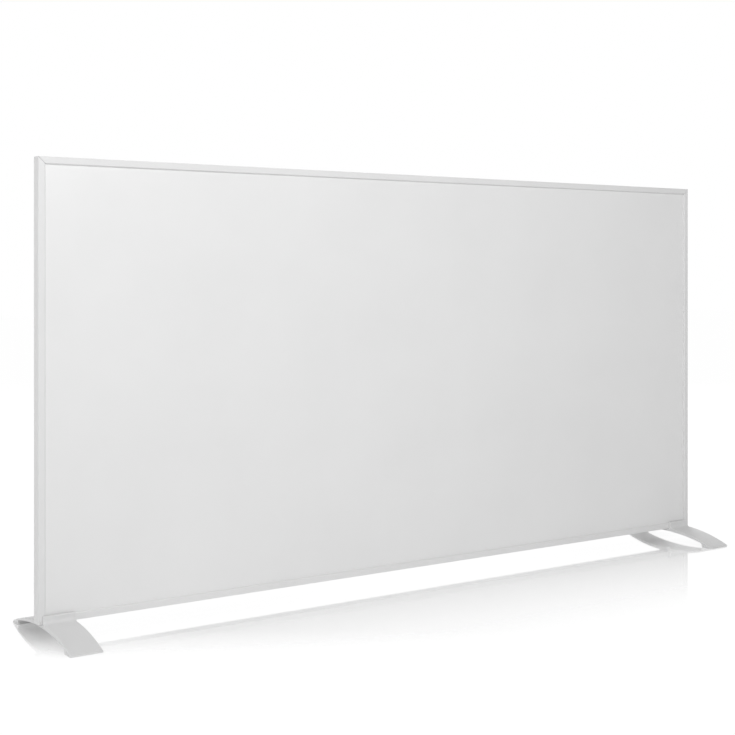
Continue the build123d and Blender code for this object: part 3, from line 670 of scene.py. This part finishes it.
def seen_directly(tree):
    """1 for rays from the eye, a mirror or glass, and 0 for the light that falls on the object."""
    path = tree.nodes.new("ShaderNodeLightPath")
    total = path.outputs["Is Camera Ray"]
    for kind in ("Is Glossy Ray", "Is Transmission Ray"):
        total = maths(tree, "MAXIMUM", total, path.outputs[kind])
    return total


def mixed(tree, factor, first, second):
    mix = tree.nodes.new("ShaderNodeMixShader")
    tree.links.new(factor, mix.inputs["Fac"])
    tree.links.new(first, mix.inputs[1])
    tree.links.new(second, mix.inputs[2])
    return mix.outputs["Shader"]


def added(tree, first, second):
    both = tree.nodes.new("ShaderNodeAddShader")
    tree.links.new(first, both.inputs[0])
    tree.links.new(second, both.inputs[1])
    return both.outputs["Shader"]


def shader(tree, kind, value, output, **settings):
    """The output of a shader node in a plain grey."""
    made = tree.nodes.new("ShaderNode" + kind)
    made.inputs["Color"].default_value = (*grey(value), 1)
    for name, setting in settings.items():
        made.inputs[name].default_value = setting
    return made.outputs[output]


def make_world():
    """White to the eye, and a plain light from all round to the object."""
    world = bpy.data.worlds.new("world")
    bpy.context.scene.world = world
    world.use_nodes = True
    tree = world.node_tree
    tree.nodes.clear()
    around = shader(tree, "Background", 1.0, "Background", Strength=AMBIENT)
    white = shader(tree, "Background", 1.0, "Background", Strength=1.0)
    output = tree.nodes.new("ShaderNodeOutputWorld")
    tree.links.new(mixed(tree, seen_directly(tree), around, white), output.inputs["Surface"])


def mirror_share(tree):
    """How much the floor mirrors at a place: most under the panel, none towards its front."""
    where = tree.nodes.new("ShaderNodeTexCoord")
    split = tree.nodes.new("ShaderNodeSeparateXYZ")
    tree.links.new(where.outputs["Object"], split.inputs["Vector"])
    across = maths(tree, "MULTIPLY", split.outputs["X"], MIRROR_AXIS[0])
    along = maths(tree, "MULTIPLY", split.outputs["Y"], MIRROR_AXIS[1])
    towards = ranged(tree, maths(tree, "ADD", across, along), MIRROR_SPAN, (0.0, MIRROR_MOST))
    beside = maths(tree, "ABSOLUTE", split.outputs["Y"], 0.0)
    near = maths(tree, "POWER", ranged(tree, beside, (0.0, MIRROR_SIDE), (1.0, 0.0)), MIRROR_FALL)
    outward = maths(tree, "ABSOLUTE", split.outputs["X"], 0.0)
    within = ranged(tree, outward, MIRROR_END, (1.0, 0.0))
    return maths(tree, "MULTIPLY", maths(tree, "MULTIPLY", towards, near), within)


def white_to_the_eye(tree):
    """Light of the floor's own, dimmed in the gaps under the object as a painted contact shade, and a thin shadow.
    """
    open_sky = tree.nodes.new("ShaderNodeAmbientOcclusion")
    open_sky.inputs["Distance"].default_value = CONTACT_REACH
    open_sky.samples = CONTACT_SAMPLES
    # ambient occlusion dims the floor's own light near the object: a painted contact shade, not a cast shadow
    level = ranged(tree, open_sky.outputs["AO"], (0.0, 1.0), (CONTACT_LEVEL * FLOOR_WHITE, FLOOR_WHITE))
    glow = tree.nodes.new("ShaderNodeEmission")
    tree.links.new(level, glow.inputs["Strength"])
    return added(tree, shader(tree, "BsdfDiffuse", FLOOR_SHADE, "BSDF"), glow.outputs["Emission"])


def floor_material():
    """White to the eye but for shadows, with a mirror image that fades."""
    material = bpy.data.materials.new("floor")
    material.use_nodes = True
    tree = material.node_tree
    tree.nodes.clear()
    mirror = shader(tree, "BsdfAnisotropic", 1.0, "BSDF", Roughness=MIRROR_ROUGHNESS)
    seen = mixed(tree, mirror_share(tree), white_to_the_eye(tree), mirror)
    bounce = added(
        tree,
        shader(tree, "BsdfDiffuse", FLOOR_BOUNCE, "BSDF"),
        shader(tree, "Emission", 1.0, "Emission", Strength=FLOOR_GLOW),
    )
    output = tree.nodes.new("ShaderNodeOutputMaterial")
    tree.links.new(mixed(tree, seen_directly(tree), bounce, seen), output.inputs["Surface"])
    return material


def make_floor():
    mesh = bpy.data.meshes.new("floor")
    corners = [(x * FLOOR_HALF, y * FLOOR_HALF, 0) for x, y in ((-1, -1), (1, -1), (1, 1), (-1, 1))]
    mesh.from_pydata(corners, [], [(0, 1, 2, 3)])
    mesh.materials.append(floor_material())
    floor = bpy.data.objects.new("floor", mesh)
    bpy.context.scene.collection.objects.link(floor)


# ---------------------------------------------------------------- lamps

# Each lamp's name, its place, what it points at, its diameter and its power in watts.
LAMPS = (
    ("key", (-1.2, -1.7, 1.7), (-0.2, 0, 0.4), 0.9, 25.5),
    ("front_fill", (0, -1.7, 1.08), (0, 0, 0.35), 0.5, 6.3),
    ("end_fill", (-2.3, 0.9, 0.7), (-0.6, 0, 0.3), 0.8, 10.3),
    ("back_fill", (1.9, 2.3, 1.7), (0.2, 0, 0.3), 1.6, 38),
)


def area_lamp(name, place, target, size, watts):
    data = bpy.data.lights.new(name, "AREA")
    data.shape = "DISK"
    data.size = size
    data.energy = watts
    lamp = bpy.data.objects.new(name, data)
    lamp.location = place
    away = Vector(target) - Vector(place)
    lamp.rotation_euler = away.to_track_quat("-Z", "Y").to_euler()
    bpy.context.scene.collection.objects.link(lamp)


make_world()
make_floor()
for lamp_row in LAMPS:
    area_lamp(*lamp_row)
